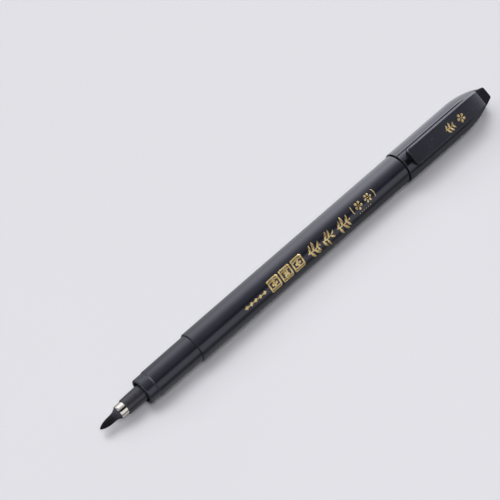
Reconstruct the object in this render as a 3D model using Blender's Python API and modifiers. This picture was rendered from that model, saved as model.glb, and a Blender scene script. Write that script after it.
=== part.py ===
"""Brush pen with its cap posted on the tail: the pen lies along X, tip towards -X, clip on top (+Z).

The origin is the middle of the pen's length, on the surface that the cap lies on.
Stations are distances along the pen from the point of the brush. All sizes are in metres.
"""

import math

import bmesh
import bpy

MM = 0.001

# Driving dimensions: what shows, from the brush's point to the end of the cap.
BRUSH_SHOWN = 7.0 * MM
FERRULE_SHOWN = 2.5 * MM
HOLDER_SHOWN = 6.6 * MM
LAND_LENGTH = 3.6 * MM
GRIP_LENGTH = 16.3 * MM
BARREL_SHOWN = 87.1 * MM
CAP_LENGTH = 39.6 * MM
POST_DEPTH = 10.0 * MM

CAP_RADIUS = 5.4 * MM
CAP_BORE = 4.55 * MM
BARREL_FRONT_RADIUS = 4.96 * MM
BARREL_REAR_RADIUS = 5.0 * MM
BARREL_BORE = 3.95 * MM
SPIGOT_RADIUS = 4.45 * MM
GRIP_RADIUS = 4.5 * MM
LAND_RADIUS = 4.23 * MM
HOLDER_RADIUS = 2.6 * MM
FERRULE_RADIUS = 2.1 * MM
WICK_RADIUS = 0.9 * MM
RESERVOIR_RADIUS = 3.5 * MM

# Stations worked out from the lengths.
FERRULE_FRONT = BRUSH_SHOWN
HOLDER_FRONT = FERRULE_FRONT + FERRULE_SHOWN
SECTION_FRONT = HOLDER_FRONT + HOLDER_SHOWN
LAND_END = SECTION_FRONT + LAND_LENGTH
BARREL_FRONT = LAND_END + GRIP_LENGTH
CAP_RIM = BARREL_FRONT + BARREL_SHOWN
BARREL_END = CAP_RIM + POST_DEPTH
PEN_LENGTH = CAP_RIM + CAP_LENGTH

# Gaps between pieces that touch on the real pen.
JOINT_GAP = 0.05 * MM
RIM_GAP = 0.3 * MM
SMALL_EDGE = 0.2 * MM

# The brush bends at its belly, on a ball as wide as the brush is there.
BEND_STATION = 4.9 * MM
BEND_BALL_RADIUS = 1.18 * MM

# The clip, measured back from the cap's rim and up from the pen's axis.
CLIP_FREE_END = 2.3 * MM
CLIP_HINGE = 29.1 * MM
CLIP_WIDTH = 6.8 * MM
CLIP_TOP = 7.2 * MM
CLIP_THICKNESS = 1.05 * MM
CLIP_CORNER = 1.1 * MM
CLIP_EDGE = 0.45 * MM
CLIP_ROOT_GAP = 0.3 * MM
BEAD_BACK = 1.2 * MM
BEAD_RADIUS = 0.45 * MM
BEAD_SINK = 0.15 * MM
RIB_START = 0.7 * MM
RIB_END = 5.0 * MM
RIB_WIDTH = 1.8 * MM
RIB_HEIGHT = 0.35 * MM

# The clip's root block ends in a facet that slopes down to the end of the cap.
FACET_START = 33.8 * MM
FACET_END_HEIGHT = 2.4 * MM
END_FACE_BOTTOM = -1.7 * MM
END_FACE_WIDTH = 4.1 * MM
ROOT_CLEARANCE = 0.12 * MM
NOSE = 38.8 * MM
NOSE_RADIUS = 2.2 * MM
STUB_RADIUS = 1.2 * MM
STUB_HOLE_RADIUS = 1.32 * MM
STUB_START = 37.6 * MM

# Steps round a turned piece: pieces that show, and pieces that stay inside.
# Half a step of turn puts a flat strip of each turned piece at the bottom.
STEPS = 48
INNER_STEPS = 24
AXIS_HEIGHT = CAP_RADIUS * math.cos(math.pi / STEPS)
MERGE = 1e-7

# The cap's outer shape: distance back from the rim, radius.
CAP_OUTLINE = [
    (0.0, CAP_RADIUS - SMALL_EDGE),
    (SMALL_EDGE, CAP_RADIUS),
    (26.6 * MM, CAP_RADIUS),
    (28.4 * MM, 5.3 * MM),
    (30.2 * MM, 5.11 * MM),
    (32.0 * MM, 4.8 * MM),
    (33.8 * MM, 4.37 * MM),
    (35.6 * MM, 3.82 * MM),
    (37.2 * MM, 3.2 * MM),
    (38.3 * MM, 2.65 * MM),
    (NOSE, NOSE_RADIUS),
]


def station(distance):
    """The X of a distance from the brush's point."""
    return distance - PEN_LENGTH / 2


def collection(name, parent):
    made = bpy.data.collections.new(name)
    parent.children.link(made)
    return made


def material(name, colour, roughness, metallic=0.0):
    made = bpy.data.materials.new(name)
    made.use_nodes = True
    shader = made.node_tree.nodes["Principled BSDF"]
    shader.inputs["Base Color"].default_value = (*colour, 1.0)
    shader.inputs["Roughness"].default_value = roughness
    shader.inputs["Metallic"].default_value = metallic
    return made


def add(name, mesh, finish, group):
    made = bpy.data.objects.new(name, mesh)
    made.data.materials.append(finish)
    group.objects.link(made)
    return made


def turned(name, outline, finish, group, steps=STEPS):
    """A piece turned about the pen's axis. The outline is (station, radius) pairs, from its rear end
    along the outside to its front end and, for a hollow piece, back along the inside."""
    mesh = bpy.data.meshes.new(name)
    points = [(radius, 0.0, station(along)) for along, radius in outline]
    ends_on_axis = outline[0][1] == 0.0 and outline[-1][1] == 0.0
    edges = [(i, i + 1) for i in range(len(points) - 1)]
    if not ends_on_axis:
        edges.append((len(points) - 1, 0))
    mesh.from_pydata(points, edges, [])
    made = add(name, mesh, finish, group)
    made.rotation_mode = "ZYX"
    made.rotation_euler = (0.0, math.pi / 2, math.pi / steps)
    made.location = (0.0, 0.0, AXIS_HEIGHT)
    screw = made.modifiers.new("turn", "SCREW")
    screw.axis = "Z"
    screw.angle = math.tau
    screw.steps = steps
    screw.render_steps = steps
    screw.use_merge_vertices = True
    screw.merge_threshold = MERGE
    screw.use_smooth_shade = True
    return made


def outlined(name, outline, thickness, rotation, location, finish, group):
    """A flat outline with an even thickness, as a mesh, so that it can be cut and joined."""
    curve = bpy.data.curves.new(name, "CURVE")
    curve.dimensions = "2D"
    curve.fill_mode = "BOTH"
    curve.extrude = thickness / 2
    spline = curve.splines.new("POLY")
    spline.points.add(len(outline) - 1)
    for point, (across, up) in zip(spline.points, outline):
        point.co = (across, up, 0.0, 1.0)
    spline.use_cyclic_u = True
    drawn = bpy.data.objects.new(name + "_outline", curve)
    drawn.rotation_euler = rotation
    drawn.location = location
    group.objects.link(drawn)
    bpy.context.view_layer.update()
    graph = bpy.context.evaluated_depsgraph_get()
    mesh = bpy.data.meshes.new_from_object(drawn.evaluated_get(graph))
    shape = bmesh.new()
    shape.from_mesh(mesh)
    bmesh.ops.remove_doubles(shape, verts=shape.verts, dist=1e-6)
    bmesh.ops.recalc_face_normals(shape, faces=shape.faces)
    shape.to_mesh(mesh)
    shape.free()
    made = add(name, mesh, finish, group)
    made.matrix_world = drawn.matrix_world
    bpy.data.objects.remove(drawn)
    bpy.data.curves.remove(curve)
    return made


def box(name, low, high, finish, group):
    """A box between two corners."""
    mesh = bpy.data.meshes.new(name)
    shape = bmesh.new()
    bmesh.ops.create_cube(shape, size=1.0)
    for vertex in shape.verts:
        for axis in range(3):
            middle = (low[axis] + high[axis]) / 2
            vertex.co[axis] = middle + vertex.co[axis] * (high[axis] - low[axis])
    shape.to_mesh(mesh)
    shape.free()
    return add(name, mesh, finish, group)


def rod(name, start, end, radius, finish, group):
    """A plain round bar between two points."""
    mesh = bpy.data.meshes.new(name)
    shape = bmesh.new()
    bmesh.ops.create_cone(
        shape,
        cap_ends=True,
        segments=24,
        radius1=radius,
        radius2=radius,
        depth=math.dist(start, end),
    )
    shape.to_mesh(mesh)
    shape.free()
    made = add(name, mesh, finish, group)
    along = [b - a for a, b in zip(start, end)]
    is_across = abs(along[1]) > abs(along[0])
    made.rotation_euler = (math.pi / 2, 0.0, 0.0) if is_across else (0.0, math.pi / 2, 0.0)
    made.location = [(a + b) / 2 for a, b in zip(start, end)]
    return made


def boolean(target, tool, operation):
    """Cuts, joins or trims the target with the tool, which is left out of the object."""
    change = target.modifiers.new(operation.lower() + "_" + tool.name, "BOOLEAN")
    change.operation = operation
    change.object = tool
    change.solver = "EXACT"
    tool.hide_render = True
    tool.display_type = "WIRE"


def brush_pieces(finish, group):
    """The tuft: a root held in the ferrule, and the part that bends, which starts as a ball."""
    ball_rear = BEND_STATION + BEND_BALL_RADIUS
    root_front = ball_rear + 0.1 * MM
    turned(
        "brush_root",
        [
            (9.5 * MM, 0.0),
            (9.5 * MM, 1.0 * MM),
            (12.0 * MM, 1.0 * MM),
            (12.0 * MM, 1.6 * MM),
            (FERRULE_FRONT + 0.1 * MM, 1.72 * MM),
            (FERRULE_FRONT - 0.2 * MM, 1.72 * MM),
            (root_front, 1.5 * MM),
            (root_front, 0.0),
        ],
        finish,
        group,
        INNER_STEPS,
    )
    ball_angles = [math.radians(a) for a in (0, 22, 45, 68, 90)]
    ball = [
        (
            BEND_STATION + BEND_BALL_RADIUS * math.cos(angle),
            BEND_BALL_RADIUS * math.sin(angle),
        )
        for angle in ball_angles
    ]
    point = [
        (3.8 * MM, 1.17 * MM),
        (2.6 * MM, 1.06 * MM),
        (1.4 * MM, 0.79 * MM),
        (0.5 * MM, 0.4 * MM),
        (0.0, 0.0),
    ]
    turned("brush_tip", ball + point, finish, group)


def nib_pieces(metal, plastic, fibre, group):
    """The ferrule, the tapered holder that carries it, and the wick that feeds the tuft."""
    wall = 0.28 * MM
    ferrule_end = HOLDER_FRONT + 4.6 * MM
    turned(
        "ferrule",
        [
            (ferrule_end, FERRULE_RADIUS),
            (FERRULE_FRONT + 0.15 * MM, FERRULE_RADIUS - 0.05 * MM),
            (FERRULE_FRONT, FERRULE_RADIUS - 0.18 * MM),
            (FERRULE_FRONT, FERRULE_RADIUS - 0.34 * MM),
            (FERRULE_FRONT + 0.3 * MM, FERRULE_RADIUS - 0.05 * MM - wall),
            (ferrule_end, FERRULE_RADIUS - wall),
        ],
        metal,
        group,
    )
    seat_radius = FERRULE_RADIUS + JOINT_GAP
    wick_hole = WICK_RADIUS + 0.1 * MM
    body_front = SECTION_FRONT + 1.4 * MM
    body_end = 26.0 * MM
    tail_end = 42.0 * MM
    turned(
        "nib_holder",
        [
            (tail_end, 1.9 * MM),
            (body_end + 0.5 * MM, 1.9 * MM),
            (body_end, 3.2 * MM),
            (body_front, 3.2 * MM),
            (body_front, HOLDER_RADIUS),
            (SECTION_FRONT, HOLDER_RADIUS),
            (HOLDER_FRONT + SMALL_EDGE, 2.44 * MM),
            (HOLDER_FRONT, 2.44 * MM - SMALL_EDGE / 2),
            (HOLDER_FRONT, seat_radius),
            (ferrule_end + JOINT_GAP, seat_radius),
            (ferrule_end + JOINT_GAP, wick_hole),
            (tail_end, wick_hole),
        ],
        plastic,
        group,
    )
    turned(
        "feed_wick",
        [
            (54.0 * MM, 0.0),
            (52.5 * MM, WICK_RADIUS),
            (9.7 * MM, WICK_RADIUS),
            (9.6 * MM, 0.0),
        ],
        fibre,
        group,
        INNER_STEPS,
    )


def section_piece(plastic, group):
    """The front section: the seal land, the grip that the cap slides on, and the stem in the barrel."""
    wall_back = SECTION_FRONT + 1.3 * MM
    stem_end = BARREL_FRONT + 10.0 * MM
    stem_radius = BARREL_BORE - JOINT_GAP
    edge = 0.45 * MM
    turned(
        "front_section",
        [
            (stem_end, stem_radius - SMALL_EDGE),
            (stem_end - SMALL_EDGE, stem_radius),
            (BARREL_FRONT, stem_radius),
            (BARREL_FRONT - JOINT_GAP, stem_radius),
            (BARREL_FRONT - JOINT_GAP, GRIP_RADIUS),
            (LAND_END + 0.12 * MM, 4.38 * MM),
            (LAND_END, LAND_RADIUS),
            (SECTION_FRONT + edge, LAND_RADIUS),
            (SECTION_FRONT + edge * 0.3, LAND_RADIUS - edge * 0.3),
            (SECTION_FRONT, LAND_RADIUS - edge),
            (SECTION_FRONT, 3.3 * MM),
            (wall_back, 3.3 * MM),
            (wall_back + 0.1 * MM, 3.28 * MM),
            (stem_end, 3.28 * MM),
        ],
        plastic,
        group,
    )


def barrel_pieces(plastic, film, fibre, group):
    """The barrel with its stepped-down tail, the plug that closes it, and the ink reservoir inside."""
    shoulder = CAP_RIM - RIM_GAP
    turned(
        "barrel_tube",
        [
            (BARREL_END, SPIGOT_RADIUS - SMALL_EDGE),
            (BARREL_END - SMALL_EDGE, SPIGOT_RADIUS),
            (shoulder, SPIGOT_RADIUS),
            (shoulder, BARREL_REAR_RADIUS - SMALL_EDGE),
            (shoulder - SMALL_EDGE, BARREL_REAR_RADIUS),
            (BARREL_FRONT + SMALL_EDGE, BARREL_FRONT_RADIUS),
            (BARREL_FRONT, BARREL_FRONT_RADIUS - SMALL_EDGE / 2),
            (BARREL_FRONT, BARREL_BORE),
            (CAP_RIM - 1.5 * MM, BARREL_BORE),
            (CAP_RIM, 3.55 * MM),
            (BARREL_END, 3.55 * MM),
        ],
        plastic,
        group,
    )
    head_end = BARREL_END + 1.2 * MM
    stem_front = BARREL_END - 6.0 * MM
    turned(
        "tail_plug",
        [
            (head_end, 0.0),
            (head_end, SPIGOT_RADIUS - 0.8 * MM),
            (head_end - 0.5 * MM, SPIGOT_RADIUS - 0.2 * MM),
            (BARREL_END + JOINT_GAP, SPIGOT_RADIUS - 0.1 * MM),
            (BARREL_END + JOINT_GAP, 3.5 * MM),
            (stem_front + 0.3 * MM, 3.5 * MM),
            (stem_front, 3.2 * MM),
            (stem_front, 2.5 * MM),
            (BARREL_END, 2.3 * MM),
            (BARREL_END, 0.0),
        ],
        plastic,
        group,
        INNER_STEPS,
    )
    reservoir_front = BARREL_FRONT + 10.4 * MM
    reservoir_end = CAP_RIM - 3.5 * MM
    wick_socket = 54.4 * MM
    turned(
        "ink_reservoir",
        [
            (reservoir_end, 0.0),
            (reservoir_end, RESERVOIR_RADIUS),
            (reservoir_front, RESERVOIR_RADIUS),
            (reservoir_front, WICK_RADIUS + 0.1 * MM),
            (wick_socket, WICK_RADIUS + 0.1 * MM),
            (wick_socket, 0.0),
        ],
        fibre,
        group,
        INNER_STEPS,
    )
    film_inside = RESERVOIR_RADIUS + JOINT_GAP
    film_outside = film_inside + 0.12 * MM
    turned(
        "reservoir_film",
        [
            (reservoir_end + 1.0 * MM, film_outside),
            (reservoir_front, film_outside),
            (reservoir_front, film_inside),
            (reservoir_end + 1.0 * MM, film_inside),
        ],
        film,
        group,
        INNER_STEPS,
    )


def cap_pieces(plastic, liner_plastic, group, cutters):
    """The cap's shell with its guide rib, and the inner cap that keeps the tip from drying."""
    wall = 0.85 * MM
    seat = 20.4 * MM
    bore_end = 37.3 * MM
    outside = [(CAP_RIM + back, radius) for back, radius in reversed(CAP_OUTLINE)]
    inner_nose = [
        (CAP_RIM + back, radius - wall)
        for back, radius in CAP_OUTLINE
        if seat < back < bore_end
    ]
    shell = turned(
        "cap_shell",
        outside
        + [
            (CAP_RIM, CAP_BORE + SMALL_EDGE),
            (CAP_RIM + SMALL_EDGE, CAP_BORE),
            (CAP_RIM + seat, CAP_BORE),
        ]
        + inner_nose
        + [
            (CAP_RIM + bore_end, 2.3 * MM),
            (CAP_RIM + bore_end, STUB_HOLE_RADIUS),
            (CAP_RIM + NOSE, STUB_HOLE_RADIUS),
        ],
        plastic,
        group,
    )
    rib = box(
        "guide_rib_blank",
        (station(CAP_RIM + RIB_START), -RIB_WIDTH / 2, AXIS_HEIGHT + CAP_RADIUS - 0.4 * MM),
        (station(CAP_RIM + RIB_END), RIB_WIDTH / 2, AXIS_HEIGHT + CAP_RADIUS + RIB_HEIGHT),
        plastic,
        cutters,
    )
    boolean(shell, rib, "UNION")
    flange = CAP_RIM + 22.6 * MM
    lip = CAP_RIM + 18.9 * MM
    cone = CAP_RIM + 30.5 * MM
    closed = CAP_RIM + 36.9 * MM
    turned(
        "inner_cap",
        [
            (closed, 0.0),
            (closed, 1.7 * MM),
            (closed - 0.7 * MM, 2.25 * MM),
            (cone, 3.5 * MM),
            (flange + 1.2 * MM, 3.5 * MM),
            (flange + 1.2 * MM, CAP_BORE - 0.1 * MM),
            (flange, CAP_BORE - 0.1 * MM),
            (flange, 3.4 * MM),
            (lip, 2.95 * MM),
            (lip, 2.62 * MM),
            (lip + 1.2 * MM, 2.62 * MM),
            (lip + 1.8 * MM, 3.02 * MM),
            (cone, 3.02 * MM),
            (closed - 0.6 * MM, 1.3 * MM),
            (closed - 0.6 * MM, 0.0),
        ],
        liner_plastic,
        group,
        INNER_STEPS,
    )


def clip_pieces(plastic, group, cutters):
    """The clip's springy arm with its bead, and the root block that ends the cap."""
    arm_end = CLIP_HINGE - CLIP_ROOT_GAP / 2
    half = CLIP_WIDTH / 2
    corner = [
        (
            CLIP_FREE_END + CLIP_CORNER * (1 - math.sin(angle)),
            half - CLIP_CORNER * (1 - math.cos(angle)),
        )
        for angle in (math.radians(a) for a in (0, 30, 60, 90))
    ]
    side = [(arm_end, half)] + corner
    plan = side + [(back, -across) for back, across in reversed(side)]
    middle = AXIS_HEIGHT + CLIP_TOP - CLIP_THICKNESS / 2
    arm = outlined(
        "clip_arm",
        plan,
        CLIP_THICKNESS,
        (0.0, 0.0, 0.0),
        (station(CAP_RIM), 0.0, middle),
        plastic,
        group,
    )
    edges = arm.modifiers.new("edges", "BEVEL")
    edges.width = CLIP_EDGE
    edges.segments = 1
    edges.limit_method = "ANGLE"
    edges.angle_limit = math.radians(50)
    bead_x = station(CAP_RIM + CLIP_FREE_END + BEAD_BACK)
    bead_z = AXIS_HEIGHT + CLIP_TOP - CLIP_THICKNESS + BEAD_SINK
    bead_half = half - 1.1 * MM
    bead = rod(
        "clip_bead_blank",
        (bead_x, -bead_half, bead_z),
        (bead_x, bead_half, bead_z),
        BEAD_RADIUS,
        plastic,
        cutters,
    )
    boolean(arm, bead, "UNION")

    root_start = CLIP_HINGE + CLIP_ROOT_GAP / 2
    profile = [
        (root_start, 3.0 * MM),
        (root_start, CLIP_TOP),
        (FACET_START, CLIP_TOP),
        (CAP_LENGTH, FACET_END_HEIGHT),
        (CAP_LENGTH, END_FACE_BOTTOM),
        (CAP_LENGTH - 1.4 * MM, END_FACE_BOTTOM),
    ]
    root = outlined(
        "clip_root",
        profile,
        2 * CLIP_WIDTH,
        (math.pi / 2, 0.0, 0.0),
        (station(CAP_RIM), 0.0, AXIS_HEIGHT),
        plastic,
        group,
    )
    end_half = END_FACE_WIDTH / 2
    root_side = [
        (root_start - 1.0 * MM, half),
        (FACET_START, half),
        (36.4 * MM, 2.7 * MM),
        (CAP_LENGTH - 0.6 * MM, end_half + 0.15 * MM),
        (CAP_LENGTH + 0.1 * MM, end_half - 0.3 * MM),
    ]
    root_plan = outlined(
        "clip_root_plan",
        root_side + [(back, -across) for back, across in reversed(root_side)],
        4 * CLIP_TOP,
        (0.0, 0.0, 0.0),
        (station(CAP_RIM), 0.0, AXIS_HEIGHT),
        plastic,
        cutters,
    )
    nose = turned(
        "cap_nose_cutter",
        [(CAP_RIM + NOSE + ROOT_CLEARANCE, 0.0)]
        + [
            (CAP_RIM + back + (ROOT_CLEARANCE if back == NOSE else 0.0), radius + ROOT_CLEARANCE)
            for back, radius in reversed(CAP_OUTLINE[2:])
        ]
        + [(CAP_RIM + CAP_OUTLINE[2][0], 0.0)],
        plastic,
        cutters,
    )
    stub = rod(
        "clip_stub_blank",
        (station(CAP_RIM + STUB_START), 0.0, AXIS_HEIGHT),
        (station(CAP_RIM + CAP_LENGTH - 0.3 * MM), 0.0, AXIS_HEIGHT),
        STUB_RADIUS,
        plastic,
        cutters,
    )
    boolean(root, root_plan, "INTERSECT")
    boolean(root, nose, "DIFFERENCE")
    boolean(root, stub, "UNION")


def main():
    for old in list(bpy.data.objects):
        bpy.data.objects.remove(old)
    pen = collection("brush_pen", bpy.context.scene.collection)
    cutters = collection("cutters", bpy.context.scene.collection)
    black = material("black_plastic", (0.02, 0.02, 0.024), 0.32)
    pale = material("inner_cap_plastic", (0.75, 0.75, 0.72), 0.4)
    nickel = material("nickel_plate", (0.78, 0.76, 0.7), 0.18, 1.0)
    tuft = material("ink_soaked_tuft", (0.008, 0.008, 0.01), 0.5)
    wick = material("feed_fibre", (0.03, 0.03, 0.035), 0.8)
    reservoir = material("ink_fibre", (0.02, 0.02, 0.025), 0.9)
    clear = material("reservoir_film", (0.85, 0.87, 0.88), 0.25)
    brush_pieces(tuft, pen)
    nib_pieces(nickel, black, wick, pen)
    section_piece(black, pen)
    barrel_pieces(black, clear, reservoir, pen)
    cap_pieces(black, pale, pen, cutters)
    clip_pieces(black, pen, cutters)


main()
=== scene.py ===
"""The finished look of the brush pen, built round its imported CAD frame."""

import math
import random

import bmesh
import bpy
from mathutils import Matrix, Vector


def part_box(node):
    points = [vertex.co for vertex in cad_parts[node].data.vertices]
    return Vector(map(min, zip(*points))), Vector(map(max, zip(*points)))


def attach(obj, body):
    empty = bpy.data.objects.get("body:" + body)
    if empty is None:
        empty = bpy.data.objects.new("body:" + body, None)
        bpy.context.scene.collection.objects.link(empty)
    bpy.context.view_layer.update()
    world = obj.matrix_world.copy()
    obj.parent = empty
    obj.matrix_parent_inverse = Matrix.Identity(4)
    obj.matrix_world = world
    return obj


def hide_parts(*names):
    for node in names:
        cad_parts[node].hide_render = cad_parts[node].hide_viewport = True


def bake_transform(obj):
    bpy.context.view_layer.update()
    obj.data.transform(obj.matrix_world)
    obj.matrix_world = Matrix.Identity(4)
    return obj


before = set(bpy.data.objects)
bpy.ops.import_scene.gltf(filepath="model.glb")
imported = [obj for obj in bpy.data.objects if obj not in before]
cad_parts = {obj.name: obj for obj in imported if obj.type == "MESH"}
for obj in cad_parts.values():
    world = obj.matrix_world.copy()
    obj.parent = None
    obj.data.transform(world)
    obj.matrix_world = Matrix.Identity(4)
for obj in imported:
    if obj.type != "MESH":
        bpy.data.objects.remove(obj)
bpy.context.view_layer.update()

MM = 0.001

# The CAD's own stations along the pen (X) and radii, all from its boxes.
low = {name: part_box(name)[0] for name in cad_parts}
high = {name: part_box(name)[1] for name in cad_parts}
TIP_X = low["brush_tip"].x
FERRULE_X = low["ferrule"].x
HOLDER_X = low["nib_holder"].x
SECTION_X = low["front_section"].x
BARREL_X = low["barrel_tube"].x
TAIL_X = high["barrel_tube"].x
RIM_X = low["cap_shell"].x
NOSE_X = high["cap_shell"].x

# A turned CAD piece has 48 steps and lies on a flat, so it is a little lower than its radius.
CAD_STEPS = 48
FLAT = math.cos(math.pi / CAD_STEPS)


def cad_radius(name):
    """The true radius of a turned CAD piece, from its box."""
    return (high[name].y - low[name].y) / 2 / FLAT


CAP_RADIUS = cad_radius("cap_shell")
CAP_BORE = 4.55 * MM
AXIS_Z = CAP_RADIUS * FLAT
CLIP_TOP = high["clip_arm"].z - AXIS_Z
BARREL_REAR_RADIUS = cad_radius("barrel_tube")
BARREL_FRONT_RADIUS = BARREL_REAR_RADIUS - 0.04 * MM
BARREL_BORE = 3.95 * MM
SPIGOT_RADIUS = 4.45 * MM
GRIP_RADIUS = cad_radius("front_section")
LAND_RADIUS = 4.23 * MM
LAND_LENGTH = 3.6 * MM
HOLDER_RADIUS = 2.6 * MM
FERRULE_RADIUS = cad_radius("ferrule")

# Steps round a turned piece.
AROUND = 144


# ------------ meshes


def scene_object(name, data):
    """A mesh, a light or a camera, put in the scene."""
    made = bpy.data.objects.new(name, data)
    bpy.context.scene.collection.objects.link(made)
    return made


def mesh_object(name, points, faces, finish, sharp=None):
    """A smooth-shaded mesh piece with its normals outwards. Edges over the sharp angle stay sharp."""
    mesh = bpy.data.meshes.new(name)
    mesh.from_pydata([tuple(p) for p in points], [], faces)
    shape = bmesh.new()
    shape.from_mesh(mesh)
    bmesh.ops.remove_doubles(shape, verts=shape.verts, dist=1e-8)
    bmesh.ops.recalc_face_normals(shape, faces=shape.faces)
    for face in shape.faces:
        face.smooth = True
    shape.to_mesh(mesh)
    shape.free()
    if sharp is not None:
        mesh.set_sharp_from_angle(angle=math.radians(sharp))
    mesh.materials.append(finish)
    return scene_object(name, mesh)


def place_piece(piece, body, slot, *replaced):
    """Puts a piece on its body, in the place of its CAD pieces. The slot is not used."""
    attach(piece, body)
    if replaced:
        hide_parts(*replaced)


def softened(outline, cyclic):
    """Rounds the corners of an outline of (x, radius, corner radius), with a held edge at each side."""
    nearly_straight = math.radians(176)
    steps = 5
    count = len(outline)
    made = []
    for i, (x, r, corner) in enumerate(outline):
        at = Vector((x, r))
        is_end = not cyclic and i in (0, count - 1)
        if is_end or corner <= 0:
            made.append(at)
            continue
        before = Vector(outline[i - 1][:2]) - at
        after = Vector(outline[(i + 1) % count][:2]) - at
        room = 0.42 * min(before.length, after.length)
        angle = before.angle(after)
        if angle > nearly_straight:
            made.append(at)
            continue
        reach = min(room, corner / math.tan(angle / 2))
        start = at + before.normalized() * reach
        end = at + after.normalized() * reach
        hold = min(0.25 * reach, room - reach + 1e-7)
        made.append(start + before.normalized() * hold)
        for k in range(steps + 1):
            t = k / steps
            made.append(start * (1 - t) ** 2 + at * 2 * t * (1 - t) + end * t * t)
        made.append(end + after.normalized() * hold)
    return made


def even_angles(around):
    """Evenly spaced angles, one turn in all."""
    return [math.tau * k / around for k in range(around)]


def lathe(name, outline, finish, around=AROUND, cyclic=True, angles=None, sink=None):
    """Turns an outline of (x, radius, corner radius) about the pen's axis. sink(x, radius, angle) is
    how far the surface is cut in at a point, with the angle taken from the top."""
    profile = softened(outline, cyclic)
    angles = angles or even_angles(around)
    around = len(angles)
    points = []
    rings = []
    for p in profile:
        if p.y < 1e-7:
            rings.append([len(points)])
            points.append((p.x, 0.0, AXIS_Z))
            continue
        ring = []
        for a in angles:
            r = p.y - (sink(p.x, p.y, a) if sink else 0.0)
            ring.append(len(points))
            points.append((p.x, r * math.sin(a), AXIS_Z + r * math.cos(a)))
        rings.append(ring)
    faces = []
    pairs = list(zip(rings, rings[1:]))
    if cyclic:
        pairs.append((rings[-1], rings[0]))
    for first, second in pairs:
        if len(first) == 1 and len(second) == 1:
            continue
        for k in range(around):
            n = (k + 1) % around
            if len(first) == 1:
                faces.append((first[0], second[n], second[k]))
            elif len(second) == 1:
                faces.append((first[k], first[n], second[0]))
            else:
                faces.append((first[k], first[n], second[n], second[k]))
    return mesh_object(name, points, faces, finish)


def tube(first, rows, around):
    """The faces of a closed tube, from the number of its first point, its rings and a ring's points."""
    faces = []
    for i in range(rows - 1):
        a = first + i * around
        b = a + around
        for k in range(around):
            n = (k + 1) % around
            faces.append((a + k, a + n, b + n, b + k))
    last = first + (rows - 1) * around
    faces.append(tuple(range(first, first + around)))
    faces.append(tuple(range(last, last + around)))
    return faces


def spline(values, steps):
    """A smooth run of points through the given ones (Catmull-Rom)."""
    points = [Vector(v) for v in values]
    made = []
    for i in range(len(points) - 1):
        a = points[max(i - 1, 0)]
        b = points[i]
        c = points[i + 1]
        d = points[min(i + 2, len(points) - 1)]
        for k in range(steps):
            t = k / steps
            made.append(
                0.5
                * (
                    2 * b
                    + (c - a) * t
                    + (2 * a - 5 * b + 4 * c - d) * t * t
                    + (3 * b - a - 3 * c + d) * t**3
                )
            )
    made.append(points[-1])
    return made


# ------------ materials


def nodes_of(name):
    """A new material, its node tree and its surface shader."""
    made = bpy.data.materials.new(name)
    made.use_nodes = True
    tree = made.node_tree
    return made, tree, tree.nodes["Principled BSDF"]


def feed(tree, made, inputs):
    """Sets a node's inputs by name or number: a socket is linked, and any other value is set."""
    for key, value in inputs.items():
        if isinstance(value, bpy.types.NodeSocket):
            tree.links.new(value, made.inputs[key])
        else:
            made.inputs[key].default_value = value


def node(tree, kind, inputs=None, **settings):
    """A node with its settings and its inputs."""
    made = tree.nodes.new(kind)
    for key, value in settings.items():
        setattr(made, key, value)
    feed(tree, made, inputs or {})
    return made


def object_place(tree, scale=(1.0, 1.0, 1.0)):
    """Object coordinates, stretched to set a grain's direction."""
    place = node(tree, "ShaderNodeTexCoord").outputs["Object"]
    return node(tree, "ShaderNodeMapping", {"Vector": place, "Scale": scale}).outputs["Vector"]


def parts_of(tree, place):
    """The X, Y and Z of a place, as a node's outputs."""
    return node(tree, "ShaderNodeSeparateXYZ", {"Vector": place}).outputs


def noise(tree, place, scale, detail=4.0):
    """Cloudy noise from 0 to 1, mostly between 0.3 and 0.7."""
    inputs = {"Vector": place, "Scale": scale, "Detail": detail, "Roughness": 0.55}
    return node(tree, "ShaderNodeTexNoise", inputs).outputs["Fac"]


def calc(tree, operation, *values):
    """The result of a sum on numbers or sockets."""
    return node(tree, "ShaderNodeMath", dict(enumerate(values)), operation=operation).outputs["Value"]


def mix(tree, factor, first, second, blend="MIX"):
    """Two colours mixed."""
    inputs = {"Factor": factor, "A": first, "B": second}
    return node(tree, "ShaderNodeMix", inputs, data_type="RGBA", blend_type=blend).outputs["Result"]


def mix_shader(tree, factor, first, second):
    """The first shader, and the second where the factor is one."""
    return node(tree, "ShaderNodeMixShader", {0: factor, 1: first, 2: second}).outputs["Shader"]


def ramp(tree, source, stops):
    """A colour ramp with (place, colour) stops."""
    made = node(tree, "ShaderNodeValToRGB", {"Fac": source})
    elements = made.color_ramp.elements
    while len(elements) < len(stops):
        elements.new(0.5)
    for element, (place, colour) in zip(elements, stops):
        element.position = place
        element.color = (*colour, 1.0)
    return made.outputs["Color"]


def two_tone(tree, grain, dark, pale):
    """A colour that follows a noise from dark to pale."""
    return ramp(tree, grain, [(0.3, dark), (0.7, pale)])


def between(tree, source, from_low, from_high, to_low, to_high):
    """A value carried from one range to another, and held at the ends."""
    inputs = {
        "Value": source,
        "From Min": from_low,
        "From Max": from_high,
        "To Min": to_low,
        "To Max": to_high,
    }
    return node(tree, "ShaderNodeMapRange", inputs).outputs["Result"]


def uneven(tree, grain, least, most):
    """A value that follows a noise."""
    return between(tree, grain, 0.3, 0.7, least, most)


def bump(tree, height, strength, distance, under=None):
    """Fine relief from a height, over other relief where there is some."""
    inputs = {"Height": height, "Strength": strength, "Distance": distance}
    if under is not None:
        inputs["Normal"] = under
    return node(tree, "ShaderNodeBump", inputs).outputs["Normal"]


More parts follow.
